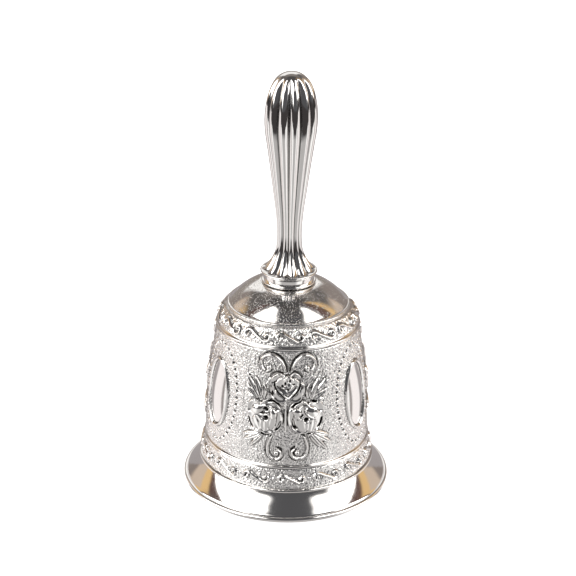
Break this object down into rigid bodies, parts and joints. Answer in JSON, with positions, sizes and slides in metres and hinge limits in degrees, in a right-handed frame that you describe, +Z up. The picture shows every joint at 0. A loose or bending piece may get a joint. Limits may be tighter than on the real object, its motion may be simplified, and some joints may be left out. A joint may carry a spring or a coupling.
{
  "type": "hand bell",
  "caption": "Small altar hand bell: embossed plated bell with a flared lip, fluted club handle screwed to the crown, and a ball clapper swinging from an eye bolt.",
  "frame": {"origin": "centre of the rim's underside, on the surface the bell stands on", "axes": "+Z up along the bell's axis through the handle; +X to the right and -Y to the front, where a rose spray faces"},
  "size_m": [0.063, 0.063, 0.1267],
  "materials": {
    "shell_plate": "polished silver plate on cast metal, stippled ground in the embossed bands",
    "collar_plate": "polished silver plate",
    "handle_plate": "polished silver plate, darker in the flutes",
    "bolt_steel": "bright turned steel",
    "washer_steel": "zinc plated",
    "nut_steel": "zinc plated",
    "link_steel": "drawn wire",
    "rod_steel": "drawn wire",
    "ball_steel": "turned and plated"
  },
  "bodies": {
    "bell": {"bell_shell": "shell_plate", "handle_collar": "collar_plate", "handle": "handle_plate", "eye_bolt": "bolt_steel", "crown_washer": "washer_steel", "hex_nut": "nut_steel"},
    "link": {"clapper_link": "link_steel"},
    "clapper": {"clapper_rod": "rod_steel", "clapper_ball": "ball_steel"}
  },
  "joints": [
    {"name": "link_swing", "type": "hinge", "parent": "bell", "child": "link", "pos_m": [0, 0, 0.05065], "axis": [1, 0, 0], "range_deg": [-25, 25]},
    {"name": "rod_swing", "type": "hinge", "parent": "link", "child": "clapper", "pos_m": [0, 0, 0.04565], "axis": [0, 1, 0], "range_deg": [-8, 8]}
  ]
}
